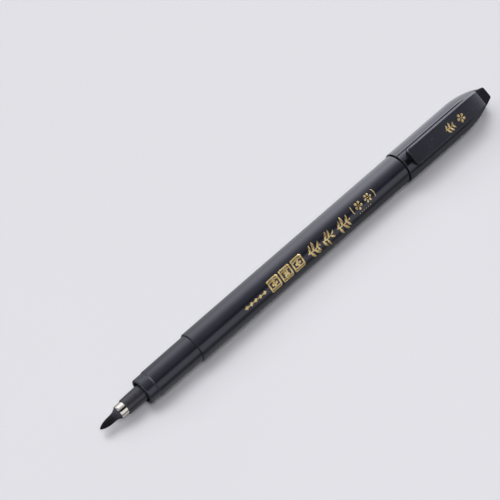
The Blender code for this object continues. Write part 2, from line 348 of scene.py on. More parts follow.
def moulded_plastic(name, colour, roughness, ior=1.6, texture=0.0, scratches=1.0, mirror=0.5):
    """Moulded plastic: faint flow in the colour, uneven gloss, a soft skin, fine handling scratches
    along the piece, and edges rubbed a little paler."""
    made, tree, shader = nodes_of(name)
    place = object_place(tree)
    along = object_place(tree, (0.06, 1.0, 1.0))
    dark = tuple(c * 0.82 for c in colour)
    pale = tuple(c * 1.2 for c in colour)
    body = two_tone(tree, noise(tree, place, 140.0), dark, pale)
    edge = node(tree, "ShaderNodeNewGeometry").outputs["Pointiness"]
    rubbed = between(tree, edge, 0.54, 0.64, 0.0, 0.16)
    worn = (*(min(1.0, c * 2.2 + 0.01) for c in colour), 1.0)
    lines = noise(tree, along, 5200.0, 2.0)
    marks = between(tree, lines, 0.66, 0.78, 0.0, 0.09 * scratches)
    cloud = uneven(tree, noise(tree, place, 420.0), roughness * 0.85, roughness * 1.15)
    skin = bump(tree, noise(tree, place, 900.0, 2.0), 0.06, 0.02 * MM)
    if texture > 0:
        spark = noise(tree, place, 9000.0, 3.0)
        skin = bump(tree, spark, texture, 0.03 * MM, under=skin)
    finish = {
        "Base Color": mix(tree, rubbed, body, worn),
        "Roughness": calc(tree, "ADD", cloud, marks),
        "IOR": ior,
        "Specular IOR Level": mirror,
        "Normal": skin,
    }
    feed(tree, shader, finish)
    return made


def plated_metal():
    """Bright warm nickel plate with faint lines round the sleeve, and a painted dark reflection stripe
    along its top.
    """
    # The dark stripe along the sleeve's top is a painted reflection of the dark gap overhead. The next
    # lines give its place across, its inner and outer edges, and its colour.
    painted_stripe_place = 0.12 * MM
    painted_stripe_inner = 0.18 * MM
    painted_stripe_outer = 0.26 * MM
    ink = (0.02, 0.018, 0.018, 1.0)
    made, tree, shader = nodes_of("plated_metal")
    place = object_place(tree)
    tone = two_tone(tree, noise(tree, place, 260.0), (0.86, 0.79, 0.65), (0.95, 0.9, 0.78))
    spot = parts_of(tree, place)
    off = calc(tree, "ABSOLUTE", calc(tree, "SUBTRACT", spot["Y"], painted_stripe_place))
    beside = between(tree, off, painted_stripe_inner, painted_stripe_outer, 1.0, 0.0)
    above = between(tree, spot["Z"], AXIS_Z, AXIS_Z + 0.1 * MM, 0.0, 1.0)
    # The painted reflection stripe, on the sleeve's top half only.
    painted_reflection_stripe = calc(tree, "MULTIPLY", beside, above)
    lines = noise(tree, object_place(tree, (1.0, 0.03, 0.03)), 9000.0, 3.0)
    finish = {
        "Base Color": mix(tree, painted_reflection_stripe, tone, ink),
        "Metallic": 1.0,
        "Roughness": uneven(tree, lines, 0.12, 0.2),
        "Normal": bump(tree, lines, 0.04, 0.01 * MM),
    }
    feed(tree, shader, finish)
    return made


def gold_foil():
    """Hot-stamped gold foil, uneven in tone and slightly crushed."""
    made, tree, shader = nodes_of("gold_foil")
    place = object_place(tree)
    tones = [(0.25, (0.6, 0.41, 0.13)), (0.5, (0.88, 0.66, 0.26)), (0.75, (1.0, 0.84, 0.5))]
    tone = ramp(tree, noise(tree, place, 900.0), tones)
    grain = noise(tree, place, 3500.0)
    finish = {
        "Base Color": tone,
        "Metallic": 1.0,
        "Roughness": uneven(tree, grain, 0.22, 0.42),
        "Normal": bump(tree, grain, 0.25, 0.02 * MM),
    }
    feed(tree, shader, finish)
    return made


def wet_fibres():
    """Ink-soaked synthetic bristle: black at the point, and paler and bluer towards the root, a painted
    highlight.
    """
    made, tree, shader = nodes_of("wet_fibres")
    place = node(tree, "ShaderNodeTexCoord").outputs["Object"]
    along = between(tree, parts_of(tree, place)["X"], TIP_X, TIP_X + 7.5 * MM, 0.0, 1.0)
    # From the point to the root: black, then paler and bluer towards the root, a painted highlight.
    tones = [
        (0.0, (0.0015, 0.0015, 0.002)),
        (0.35, (0.0032, 0.0031, 0.0035)),
        (0.58, (0.009, 0.0085, 0.0095)),
        (0.8, (0.042, 0.041, 0.049)),
        (0.95, (0.055, 0.054, 0.064)),
    ]
    tone = ramp(tree, along, tones)
    strands = noise(tree, object_place(tree, (0.05, 1.0, 1.0)), 7000.0, 3.0)
    streak = two_tone(tree, strands, (0.7, 0.7, 0.7), (1.3, 1.3, 1.35))
    finish = {
        "Base Color": mix(tree, 1.0, tone, streak, "MULTIPLY"),
        "Roughness": uneven(tree, strands, 0.3, 0.46),
        "IOR": 1.3,
        "Normal": bump(tree, strands, 0.4, 0.03 * MM),
    }
    feed(tree, shader, finish)
    return made


def bonded_fibre(name, colour):
    """Pressed or bonded fibre, drawn out along the pen, matt."""
    made, tree, shader = nodes_of(name)
    strands = noise(tree, object_place(tree, (0.04, 1.0, 1.0)), 5000.0, 5.0)
    dark = tuple(c * 0.5 for c in colour)
    pale = tuple(c * 1.7 for c in colour)
    finish = {
        "Base Color": two_tone(tree, strands, dark, pale),
        "Roughness": 0.92,
        "Sheen Weight": 0.2,
        "Normal": bump(tree, strands, 0.9, 0.06 * MM),
    }
    feed(tree, shader, finish)
    return made


def clear_film():
    """A thin clear wrap with faint drawn streaks."""
    made, tree, shader = nodes_of("clear_film")
    streaks = noise(tree, object_place(tree, (0.05, 1.0, 1.0)), 1200.0)
    finish = {
        "Base Color": two_tone(tree, streaks, (0.8, 0.83, 0.85), (0.9, 0.92, 0.93)),
        "Roughness": uneven(tree, streaks, 0.1, 0.22),
        "Normal": bump(tree, streaks, 0.15, 0.02 * MM),
        "Transmission Weight": 0.85,
        "IOR": 1.45,
    }
    feed(tree, shader, finish)
    return made


BLACK = (0.012, 0.0125, 0.019)
barrel_plastic = moulded_plastic("barrel_plastic", BLACK, 0.17)
section_plastic = moulded_plastic("section_plastic", BLACK, 0.2)
holder_plastic = moulded_plastic("holder_plastic", (0.015, 0.015, 0.018), 0.3)
cap_plastic = moulded_plastic("cap_plastic", BLACK, 0.17)
clip_plastic = moulded_plastic("clip_plastic", (0.018, 0.019, 0.025), 0.24)
matt_plastic = moulded_plastic("matt_plastic", (0.004, 0.004, 0.005), 0.6, ior=1.4, mirror=0.05)
textured_plastic = moulded_plastic(
    "textured_plastic",
    (0.007, 0.007, 0.009),
    0.55,
    ior=1.4,
    texture=0.5,
    scratches=0.3,
    mirror=0.05,
)
pale_plastic = moulded_plastic("pale_plastic", (0.72, 0.72, 0.68), 0.42, ior=1.5)
metal = plated_metal()
foil = gold_foil()
fibres = wet_fibres()
wick_fibre = bonded_fibre("wick_fibre", (0.03, 0.03, 0.036))
reservoir_fibre = bonded_fibre("reservoir_fibre", (0.022, 0.022, 0.028))
film = clear_film()


# ------------ turned pieces


def make_ferrule():
    """The plated sleeve, drawn in a little at its front lip."""
    wall = 0.24 * MM
    lip = 0.4 * MM
    back = high["ferrule"].x
    outline = [
        (back, FERRULE_RADIUS, 0.05 * MM),
        (FERRULE_X + lip, FERRULE_RADIUS, 0.6 * MM),
        (FERRULE_X, FERRULE_RADIUS - 0.06 * MM, 0.08 * MM),
        (FERRULE_X, FERRULE_RADIUS - 0.28 * MM, 0.06 * MM),
        (FERRULE_X + lip, FERRULE_RADIUS - wall, 0.2 * MM),
        (back, FERRULE_RADIUS - wall, 0.05 * MM),
    ]
    place_piece(lathe("ferrule_sleeve", outline, metal), "barrel", "plated_metal", "ferrule")


def make_holder():
    """The tapered holder: its cone in view, its body in the front section and its tail on the wick."""
    seat = FERRULE_RADIUS + 0.05 * MM
    front_radius = 2.44 * MM
    body_radius = 3.2 * MM
    tail_radius = 1.9 * MM
    wick_bore = 1.0 * MM
    body_front = SECTION_X + 1.4 * MM
    body_end = TIP_X + 26.0 * MM
    tail_end = high["nib_holder"].x
    ferrule_end = high["ferrule"].x + 0.05 * MM
    outline = [
        (tail_end, tail_radius, 0.2 * MM),
        (body_end + 0.5 * MM, tail_radius, 0.2 * MM),
        (body_end, body_radius, 0.2 * MM),
        (body_front, body_radius, 0.1 * MM),
        (body_front, HOLDER_RADIUS, 0.1 * MM),
        (SECTION_X, HOLDER_RADIUS, 1.0 * MM),
        (HOLDER_X, front_radius, 0.12 * MM),
        (HOLDER_X, seat + 0.05 * MM, 0.02 * MM),
        (HOLDER_X + 0.12 * MM, seat, 0.02 * MM),
        (ferrule_end, seat, 0.05 * MM),
        (ferrule_end, wick_bore, 0.05 * MM),
        (tail_end, wick_bore, 0.1 * MM),
    ]
    cone = lathe("holder_cone", outline, holder_plastic)
    place_piece(cone, "barrel", "holder_plastic", "nib_holder")


def make_section():
    """The front section: the seal land, the ring step and its groove, the grip and the pressed stem."""
    land_end = SECTION_X + LAND_LENGTH
    grip_end = BARREL_X - 0.05 * MM
    stem_end = high["front_section"].x
    stem_radius = BARREL_BORE - 0.05 * MM
    groove_radius = LAND_RADIUS - 0.04 * MM
    outline = [
        (stem_end, stem_radius, 0.2 * MM),
        (grip_end, stem_radius, 0.02 * MM),
        (grip_end, GRIP_RADIUS, 0.08 * MM),
        (land_end + 0.02 * MM, LAND_RADIUS + 0.18 * MM, 0.03 * MM),
        (land_end - 0.22 * MM, groove_radius, 0.02 * MM),
        (land_end - 0.42 * MM, groove_radius, 0.02 * MM),
        (land_end - 0.5 * MM, LAND_RADIUS, 0.02 * MM),
        (SECTION_X, LAND_RADIUS, 0.5 * MM),
        (SECTION_X, 3.36 * MM, 0.06 * MM),
        (SECTION_X + 1.3 * MM, 3.3 * MM, 0.05 * MM),
        (stem_end, 3.28 * MM, 0.1 * MM),
    ]
    grip = lathe("section_grip", outline, section_plastic)
    place_piece(grip, "barrel", "barrel_plastic", "front_section")


def make_barrel():
    """The barrel, with its stepped-down tail inside the posted cap."""
    shoulder = RIM_X - 0.42 * MM
    tail_bore = 3.55 * MM
    outline = [
        (TAIL_X, SPIGOT_RADIUS, 0.25 * MM),
        (shoulder, SPIGOT_RADIUS, 0.05 * MM),
        (shoulder, BARREL_REAR_RADIUS, 0.1 * MM),
        (BARREL_X, BARREL_FRONT_RADIUS, 0.16 * MM),
        (BARREL_X, BARREL_BORE, 0.08 * MM),
        (RIM_X - 1.5 * MM, BARREL_BORE, 0.3 * MM),
        (RIM_X, tail_bore, 0.3 * MM),
        (TAIL_X, tail_bore, 0.08 * MM),
    ]
    barrel = lathe("barrel_body", outline, barrel_plastic)
    place_piece(barrel, "barrel", "barrel_plastic", "barrel_tube")


def make_tail_plug():
    """The plug in the barrel's tail: a dished head over a hollow stem."""
    head = high["tail_plug"].x
    dish = head - 0.35 * MM
    seat = TAIL_X + 0.05 * MM
    stem = low["tail_plug"].x
    stem_radius = 3.5 * MM
    outline = [
        (dish, 0.0, 0.0),
        (dish, 1.5 * MM, 0.2 * MM),
        (head, 1.9 * MM, 0.2 * MM),
        (head, SPIGOT_RADIUS - 0.7 * MM, 0.35 * MM),
        (seat, SPIGOT_RADIUS - 0.1 * MM, 0.15 * MM),
        (seat, stem_radius, 0.02 * MM),
        (stem, stem_radius, 0.4 * MM),
        (stem, 2.5 * MM, 0.1 * MM),
        (TAIL_X, 2.3 * MM, 0.2 * MM),
        (TAIL_X, 0.0, 0.0),
    ]
    plug = lathe("tail_stopper", outline, holder_plastic, cyclic=False)
    place_piece(plug, "barrel", "holder_plastic", "tail_plug")


def make_wick():
    """The wick, pointed where it enters the reservoir."""
    back = high["feed_wick"].x
    front = low["feed_wick"].x
    radius = 0.9 * MM
    outline = [
        (back, 0.0, 0.0),
        (back - 1.5 * MM, radius, 0.3 * MM),
        (front, radius, 0.15 * MM),
        (front, 0.0, 0.0),
    ]
    rod = lathe("wick_rod", outline, wick_fibre, around=64, cyclic=False)
    place_piece(rod, "barrel", "feed_fibre", "feed_wick")


def make_reservoir():
    """The fibre rod that holds the ink, with a socket for the wick."""
    front = low["ink_reservoir"].x
    back = high["ink_reservoir"].x
    radius = 3.49 * MM
    socket = TIP_X + 54.4 * MM
    socket_radius = 1.0 * MM
    outline = [
        (back, 0.0, 0.0),
        (back, radius, 0.25 * MM),
        (front, radius, 0.25 * MM),
        (front, socket_radius, 0.1 * MM),
        (socket, socket_radius, 0.1 * MM),
        (socket, 0.0, 0.0),
    ]
    rod = lathe("reservoir_rod", outline, reservoir_fibre, around=96, cyclic=False)
    place_piece(rod, "barrel", "reservoir_fibre", "ink_reservoir")


def make_film():
    """The thin film round the reservoir."""
    front = low["ink_reservoir"].x
    back = high["reservoir_film"].x
    soft = 0.04 * MM
    outline = [(x, r * MM, soft) for x, r in ((back, 3.67), (front, 3.67), (front, 3.55), (back, 3.55))]
    wrap = lathe("film_wrap", outline, film, around=96)
    place_piece(wrap, "barrel", "reservoir_film", "reservoir_film")


# The cap's nose: distance back from the rim and radius in millimetres, as the CAD has it.
CAP_OUTLINE = [
    (26.6, 5.4),
    (28.4, 5.3),
    (30.2, 5.11),
    (32.0, 4.8),
    (33.8, 4.37),
    (35.6, 3.82),
    (37.2, 3.2),
    (38.3, 2.65),
    (38.8, 2.2),
]


def make_cap():
    """The cap's hollow body, open at its rim and in its nose, with a fine groove at each side of the
    clip."""
    wall = 0.85 * MM
    neck_back = 37.3
    neck_radius = 1.32 * MM
    nose = [(RIM_X + p.x * MM, p.y * MM, 0.0) for p in spline(CAP_OUTLINE, 4)]
    inner = [(RIM_X + p.x * MM, p.y * MM - wall, 0.0) for p in spline(CAP_OUTLINE, 2) if p.x < neck_back]
    outline = list(reversed(nose))
    outline += [
        (RIM_X + 25.6 * MM, CAP_RADIUS, 0.0),
        (RIM_X, CAP_RADIUS, 0.12 * MM),
        (RIM_X, CAP_BORE, 0.22 * MM),
        (RIM_X + 23.6 * MM, CAP_BORE, 0.5 * MM),
    ]
    outline += inner
    outline += [
        (RIM_X + neck_back * MM, neck_radius, 0.1 * MM),
        (NOSE_X, neck_radius, 0.1 * MM),
    ]
    groove = math.radians(37.5)
    half = math.radians(2.1)
    depth = 0.3 * MM
    bore_end = RIM_X + 30.0 * MM
    least_radius = 3.6 * MM
    groove_end = RIM_X + 32.4 * MM
    fade_length = 3.0 * MM
    fine = [groove + half * k / 4 for k in range(-6, 7)]
    plain = [a for a in even_angles(AROUND) if abs(min(a, math.tau - a) - groove) > 1.6 * half]
    angles = sorted(plain + fine + [math.tau - a for a in fine])

    def sink(x, radius, angle):
        """Two fine grooves that run beside the clip from the rim and fade out at the nose."""
        in_bore = x < bore_end and radius < CAP_BORE + 0.4 * MM
        if in_bore or radius < least_radius:
            return 0.0
        off = abs(min(angle, math.tau - angle) - groove) / half
        fade = min(1.0, max(0.0, (groove_end - x) / fade_length))
        return depth * fade * max(0.0, 1.0 - off**4)

    cap = lathe("cap_body", outline, cap_plastic, angles=angles, sink=sink)
    place_piece(cap, "cap", "cap_plastic", "cap_shell")


def make_guide_rib():
    """The low rib on the cap, under the clip's free end, rounded along its top and at its ends."""
    start = RIM_X + 0.6 * MM
    length = 4.4 * MM
    half = 0.9 * MM
    top = 0.36 * MM
    foot = -0.3 * MM
    rows = 24
    # The share of the length over which each end rises.
    rise = 0.125
    left = [(-1, 0.0), (-1, 0.55), (-0.82, 0.9), (-0.4, 1.0)]
    section = left + [(-across, up) for across, up in reversed(left)]
    points = []
    for i in range(rows + 1):
        t = i / rows
        ease = 0.5 + 0.5 * math.sin(math.pi / 2 * min(rise, t, 1 - t) / rise)
        for across, up in section:
            y = across * half * (0.8 + 0.2 * ease)
            base = math.sqrt(CAP_RADIUS**2 - y * y)
            height = foot + (top * ease - foot) * up
            points.append((start + length * t, y, AXIS_Z + base + height))
    faces = tube(0, rows + 1, len(section))
    place_piece(mesh_object("cap_guide_rib", points, faces, matt_plastic), "cap", "cap_plastic")


def make_inner_cap():
    """The soft inner cap: a sealing lip, a flange in the cap's bore and a closed cone."""
    lip = low["inner_cap"].x
    closed = high["inner_cap"].x
    inside_end = closed - 0.6 * MM
    flange = RIM_X + 22.6 * MM
    flange_end = flange + 1.2 * MM
    flange_radius = CAP_BORE - 0.1 * MM
    cone = RIM_X + 30.5 * MM
    lip_bore = 2.62 * MM
    outer = 3.5 * MM
    bore = 3.02 * MM
    outline = [
        (closed, 0.0, 0.0),
        (closed, 1.9 * MM, 0.6 * MM),
        (cone, outer, 2.0 * MM),
        (flange_end, outer, 0.2 * MM),
        (flange_end, flange_radius, 0.15 * MM),
        (flange, flange_radius, 0.15 * MM),
        (flange, 3.4 * MM, 0.2 * MM),
        (lip, 2.95 * MM, 0.12 * MM),
        (lip, lip_bore, 0.12 * MM),
        (lip + 1.2 * MM, lip_bore, 0.3 * MM),
        (lip + 1.8 * MM, bore, 0.3 * MM),
        (cone, bore, 2.0 * MM),
        (inside_end, 1.3 * MM, 0.5 * MM),
        (inside_end, 0.0, 0.0),
    ]
    cup = lathe("inner_cap_cup", outline, pale_plastic, around=96, cyclic=False)
    place_piece(cup, "cap", "inner_cap_plastic", "inner_cap")


make_ferrule()
make_holder()
make_section()
make_barrel()
make_tail_plug()
make_wick()
make_reservoir()
make_film()
make_cap()
make_guide_rib()
make_inner_cap()


# ------------ the tuft

# Distance back from the point and radius, in millimetres.
TUFT = [
    (0.0, 0.03),
    (0.25, 0.24),
    (0.6, 0.46),
    (1.0, 0.64),
    (1.45, 0.8),
    (2.3, 1.0),
    (3.1, 1.12),
    (4.0, 1.17),
    (4.8, 1.185),
    (5.3, 1.215),
    (5.7, 1.29),
    (6.1, 1.4),
    (6.5, 1.6),
    (6.85, 1.75),
    (7.05, 1.77),
    (7.4, 1.74),
    (12.0, 1.6),
]
# Where the tuft comes out of the ferrule, in millimetres back, and how far its point leans aside.
TUFT_ROOT = 7.2
TUFT_LEAN = 0.12 * MM


def tuft_centre(back):
    """How far the tuft leans to the side, at a distance back from its point."""
    lean_length = 3.2
    share = min(1.0, max(0.0, (TUFT_ROOT - back) / lean_length))
    return -TUFT_LEAN * share * share * (3 - 2 * share)


def on_tuft(back, angle, radius, side=0.0):
    """A point at a distance back from the tuft's point, with its angle from the top, its radius, and
    a step to the side along the skin."""
    y = radius * math.sin(angle) + side * math.cos(angle)
    z = radius * math.cos(angle) - side * math.sin(angle)
    return (TIP_X + back * MM, tuft_centre(back) + y, AXIS_Z + z)


def make_tuft():
    """The whole tuft, with grooves between its bristles, bending from the ferrule to its belly."""
    rng = random.Random(11)
    rings = spline(TUFT, 5)
    around = 180
    groove_depth = 0.018
    counts = (23, 31, 38, 47, 59)
    waves = []
    for _ in range(7):
        waves.append((rng.choice(counts), rng.uniform(0, math.tau), rng.uniform(0.5, 1.0)))
    points = []
    for ring in rings:
        depth = groove_depth * min(1.0, ring.x / 1.2)
        for a in even_angles(around):
            swirl = a + 0.05 * ring.x
            groove = sum(w * math.sin(n * swirl + p) for n, p, w in waves) / 5
            points.append(on_tuft(ring.x, a, (ring.y + depth * groove) * MM))
    faces = tube(0, len(rings), around)
    add_strands(points, faces, rng)
    tuft = mesh_object("tuft", points, faces, fibres)
    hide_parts("brush_tip", "brush_root")
    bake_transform(tuft)


def tuft_radius(back):
    """The tuft's radius in millimetres, at a distance back from its point."""
    for (a, ra), (b, rb) in zip(TUFT, TUFT[1:]):
        if a <= back <= b:
            return ra + (rb - ra) * (back - a) / (b - a)
    return TUFT[-1][1]


def add_strands(points, faces, rng):
    """Single bristles that lie on the tuft from its root and run out at different lengths."""
    strands = 110
    sides = 5
    steps = 22
    for _ in range(strands):
        a = rng.uniform(0, math.tau)
        turn = rng.uniform(-0.05, 0.05)
        end = rng.uniform(0.35, 4.2)
        girth = rng.uniform(0.022, 0.04)
        lift = rng.uniform(0.0, 0.014)
        first = len(points)
        for i in range(steps + 1):
            t = i / steps
            back = TUFT_ROOT + (end - TUFT_ROOT) * t
            angle = a + turn * (TUFT_ROOT - back)
            thick = girth * (1 - 0.75 * t**3)
            centre = tuft_radius(back) + lift
            for b in even_angles(sides):
                radius = (centre + thick * math.cos(b)) * MM
                points.append(on_tuft(back, angle, radius, thick * math.sin(b) * MM))
        faces.extend(tube(first, steps + 1, sides))


make_tuft()


# ------------ the clip

# The clip is a shallow channel. Each section, in millimetres: distance back from the rim, half width
# of the upper part, and the heights above the axis of the top, the channel's roof and the sides' foot.
CLIP_SECTIONS = [
    (2.72, 2.10, 6.94, 5.9, 5.5),
    (2.74, 2.24, 7.01, 5.9, 5.4),
    (2.80, 2.41, 7.05, 5.9, 5.3),
    (2.95, 2.60, 7.07, 5.9, 5.2),
    (3.22, 2.83, 7.085, 6.0, 5.1),
    (3.52, 2.98, 7.10, 6.1, 5.0),
    (3.86, 3.07, 7.11, 6.15, 4.95),
    (4.20, 3.10, 7.12, 6.15, 4.95),
    (9.0, 3.10, 7.20, 6.15, 4.95),
    (26.6, 3.10, 7.20, 6.15, 4.95),
    (27.6, 3.10, 7.195, 6.0, 4.95),
    (28.6, 3.10, 7.175, 5.5, 4.9),
    (29.4, 3.10, 7.145, 4.7, 4.7),
    (30.2, 3.09, 7.10, 4.2, 4.2),
    (31.2, 3.07, 7.02, 3.6, 3.6),
    (32.2, 3.04, 6.90, 3.2, 3.2),
    (33.1, 3.00, 6.75, 2.9, 2.9),
    (33.6, 2.97, 6.64, 2.7, 2.7),
    (34.0, 2.94, 6.53, 2.5, 2.5),
]
# The end block's sections, with the cut of the lower corners as a sixth number.
END_SECTIONS = [
    (34.0, 2.94, 6.53, 2.5, 2.5, 0.1),
    (34.12, 2.93, 6.42, 2.4, 2.4, 0.1),
    (36.4, 2.62, 4.78, 1.0, 1.0, 0.3),
    (38.0, 2.33, 3.6, -0.6, -0.6, 0.8),
    (38.5, 2.22, 3.22, -1.35, -1.35, 1.2),
    (39.0, 2.12, 2.85, -1.55, -1.55, 1.3),
    (39.35, 1.99, 2.52, -1.58, -1.58, 1.3),
    (39.53, 1.79, 2.22, -1.5, -1.5, 1.2),
    (39.6, 1.54, 1.92, -1.3, -1.3, 1.1),
]
# In millimetres: the chamfer on the long edges, how far the sides lean out, their thickness, and how
# far the top is crowned.
CLIP_EDGE = 0.46
CLIP_DRAFT = 0.08
CLIP_WALL = 0.55
CLIP_CROWN = 0.012


def clip_ring(back, half, top, roof, foot, cut=0.1):
    """One cross-section of the clip: a flat top, chamfered long edges and sides that lean out."""
    depth = top - foot
    edge = min(CLIP_EDGE, 0.4 * depth, 0.3 * half)
    lean = CLIP_DRAFT * min(1.0, max(0.0, (depth - edge) / 1.8))
    drop = 0.8 * edge
    soft = 0.08 * edge
    wide = half + lean
    wall = wide - max(min(CLIP_WALL, 0.3 * half), 0.6 * cut + 0.1)
    side = [
        (0.0, top + CLIP_CROWN),
        (half * 0.5, top + 0.75 * CLIP_CROWN),
        (half - edge - soft * 3, top),
        (half - edge - soft, top),
        (half - edge + soft * 0.7, top - soft * 0.7),
        (half - soft * 0.7, top - drop + soft * 0.7),
        (half, top - drop - soft),
        (wide - 0.01, foot + cut),
        (wide - 0.6 * cut, foot),
        (wall + 0.05, foot),
        (wall, foot + 0.05 * (roof > foot)),
        (wall - 0.1, max(foot, roof - 0.1)),
        (wall - 0.2, roof),
        (0.0, roof),
    ]
    ring = side + [(-y, z) for y, z in reversed(side[1:-1])]
    return [(RIM_X + back * MM, y * MM, AXIS_Z + z * MM) for y, z in ring]


def loft(name, rings, finish):
    """A piece through cross-sections, smooth but for its edges."""
    points = [p for ring in rings for p in ring]
    faces = tube(0, len(rings), len(rings[0]))
    return mesh_object(name, points, faces, finish, sharp=38)


def make_clip():
    """The clip's strip, which bends near the end block."""
    longest_step = 0.6
    rings = []
    for a, b in zip(CLIP_SECTIONS, CLIP_SECTIONS[1:]):
        steps = max(1, int((b[0] - a[0]) / longest_step))
        for k in range(steps):
            rings.append(clip_ring(*(p + (q - p) * k / steps for p, q in zip(a, b))))
    rings.append(clip_ring(*CLIP_SECTIONS[-1]))
    clip = loft("clip_strip", rings, clip_plastic)
    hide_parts("clip_arm")
    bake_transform(clip)


def make_end_block():
    """The block at the cap's end, with its sloping facet and its small flat end."""
    end = loft("cap_end_block", [clip_ring(*s) for s in END_SECTIONS], textured_plastic)
    place_piece(end, "cap", "cap_plastic", "clip_root")


def make_bead():
    """The bead under the clip's free end, a round bar sunk in the clip, with rounded ends."""
    x = RIM_X + 3.5 * MM
    z = AXIS_Z + 6.3 * MM
    half = 2.2 * MM
    radius = 0.45 * MM
    steps = 24
    around = 20
    # A little under one, so that the bead ends in small flats.
    roundness = 0.98
    points = []
    for i in range(steps + 1):
        y = -half + 2 * half * i / steps
        inset = max(0.0, abs(y) - (half - radius)) / radius
        r = radius * math.sqrt(1 - inset * inset * roundness)
        for a in even_angles(around):
            points.append((x + r * math.cos(a), y, z + r * math.sin(a)))
    faces = tube(0, steps + 1, around)
    place_piece(mesh_object("clip_bead", points, faces, clip_plastic), "clip", "cap_plastic")


make_clip()
make_end_block()
make_bead()


# ------------ the gold ornament


# The foil's height over the plastic, the steps that keep crossing strokes apart, and how deep its
# edges and its back are sunk.
FOIL_HEIGHT = 0.016 * MM
FOIL_STEP = 0.0015 * MM
FOIL_STEPS = 6
FOIL_SUNK = -0.02 * MM
# Places across a stroke, in half widths, and the least half width in millimetres.
FOIL_FRONT = (-1.0, -0.86, -0.4, 0.0, 0.4, 0.86, 1.0)
FOIL_BACK = (0.4, -0.4)
FOIL_LEAST_HALF = 0.012


def on_barrel(centre):
    """Places a stroke's point on the barrel: u is the distance back from the brush's point, and v the
    distance towards -Y from a line at the centre angle in degrees, both in millimetres."""

    def place(u, v, height):
        """A point on the tapering barrel."""
        x = TIP_X + u * MM
        angle = math.radians(centre) + v * MM / BARREL_REAR_RADIUS
        share = (x - BARREL_X) / (RIM_X - BARREL_X)
        r = BARREL_FRONT_RADIUS + (BARREL_REAR_RADIUS - BARREL_FRONT_RADIUS) * share + height
        return (x, -r * math.sin(angle), AXIS_Z + r * math.cos(angle))

    return place


class Foil:
    """Thin foil strokes gathered into one mesh. place(u, v, height) puts a stroke's point on a
    surface."""

    def __init__(self, name, place):
        """A new piece with no strokes yet."""
        self.name = name
        self.place = place
        self.points = []
        self.faces = []
        self.strokes = 0

    def stroke(self, path, widths, steps=6):
        """A ribbon along a path in mm, with a width at each of its points."""
        line = spline([(*p, w) for p, w in zip(path, widths)], steps)
        height = FOIL_HEIGHT + FOIL_STEP * (self.strokes % FOIL_STEPS)
        self.strokes += 1
        first = len(self.points)
        for i, p in enumerate(line):
            ahead = line[min(i + 1, len(line) - 1)]
            behind = line[max(i - 1, 0)]
            along = Vector((ahead.x - behind.x, ahead.y - behind.y))
            if along.length < 1e-9:
                along = Vector((1.0, 0.0))
            along.normalize()
            half = max(FOIL_LEAST_HALF, p.z / 2)
            row = [(a, FOIL_SUNK if abs(a) == 1.0 else height) for a in FOIL_FRONT]
            row += [(a, FOIL_SUNK) for a in FOIL_BACK]
            for a, h in row:
                u = p.x - along.y * half * a
                v = p.y + along.x * half * a
                self.points.append(self.place(u, v, h))
        self.faces += tube(first, len(line), len(FOIL_FRONT) + len(FOIL_BACK))

    def dash(self, u, v, half, edge, width, steps):
        """A short straight stroke along u, widest in its middle."""
        self.stroke([(u - half, v), (u, v), (u + half, v)], [edge, width, edge], steps)

    def leaf(self, u, v, length, width, turn):
        """A pointed leaf from (u, v), turned in degrees and bowed a little."""
        a = math.radians(turn)
        path = []
        for s in (0.0, 0.25, 0.55, 0.8, 1.0):
            ahead = length * s
            bow = 0.08 * length * math.sin(math.pi * s)
            along = ahead * math.cos(a) - bow * math.sin(a)
            across = ahead * math.sin(a) + bow * math.cos(a)
            path.append((u + along, v + across))
        self.stroke(path, [w * width for w in (0.15, 1.0, 1.25, 0.6875, 0.025)], steps=4)

    def petal(self, u, v, turn, inner, outer, width):
        """A blunt petal about (u, v), between two distances from it."""
        a = math.radians(turn)
        path = []
        for s in (0.0, 0.3, 0.6, 0.85, 1.0):
            r = inner + (outer - inner) * s
            path.append((u + r * math.cos(a), v + r * math.sin(a)))
        self.stroke(path, [w * width for w in (0.15, 0.75, 1.0, 0.8, 0.1)], steps=4)

    def blossom(self, u, v, radius, petals, turn, fullness):
        """Petals round a small heart. The fullness is a petal's width against the radius."""
        for k in range(petals):
            self.petal(u, v, turn + 360.0 * k / petals, radius * 0.3, radius, radius * fullness)
        self.dash(u, v, radius * 0.14, 0.05, radius * 0.3, steps=4)

    def finish(self, body):
        """Makes the piece, on its body."""
        made = mesh_object(self.name, self.points, self.faces, foil)
        place_piece(made, body, "gold_foil")


def make_lozenges():
    """A small row of linked lozenges."""
    row = Foil("gold_lozenges", on_barrel(17.0))
    count = 5
    start = 54.9
    pitch = 1.8
    for k in range(count):
        u = start + pitch * k
        row.dash(u, 0.0, 0.74, 0.06, 1.5, steps=1)
        if k < count - 1:
            row.dash(u + pitch / 2, 0.0, 0.18, 0.16, 0.42, steps=3)
    row.finish("barrel")


def make_knots():
    """Three bold square knots, each a double frame with a four-petalled flower."""
    knots = Foil("gold_knots", on_barrel(16.0))
    start = 66.35
    pitch = 4.85
    half = 1.85
    thick = 0.56
    inner = half * 0.56
    inner_half = half * 0.98
    bow = 0.14
    for k in range(3):
        u = start + pitch * k
        for side in (-1, 1):
            edge = side * half
            knots.stroke([(u - half, edge), (u, edge), (u + half, edge)], [thick] * 3, steps=4)
            knots.stroke([(u + edge, -half), (u + edge, 0.0), (u + edge, half)], [thick] * 3, steps=4)
            line = side * inner
            bar = [(u - inner_half, line), (u, line + side * bow), (u + inner_half, line)]
            knots.stroke(bar, [0.4, 0.52, 0.4], steps=4)
        for turn in (0, 90, 180, 270):
            knots.petal(u, 0.0, turn + 45.0 * (k == 1), 0.1, 1.08, 0.92)
    knots.finish("barrel")


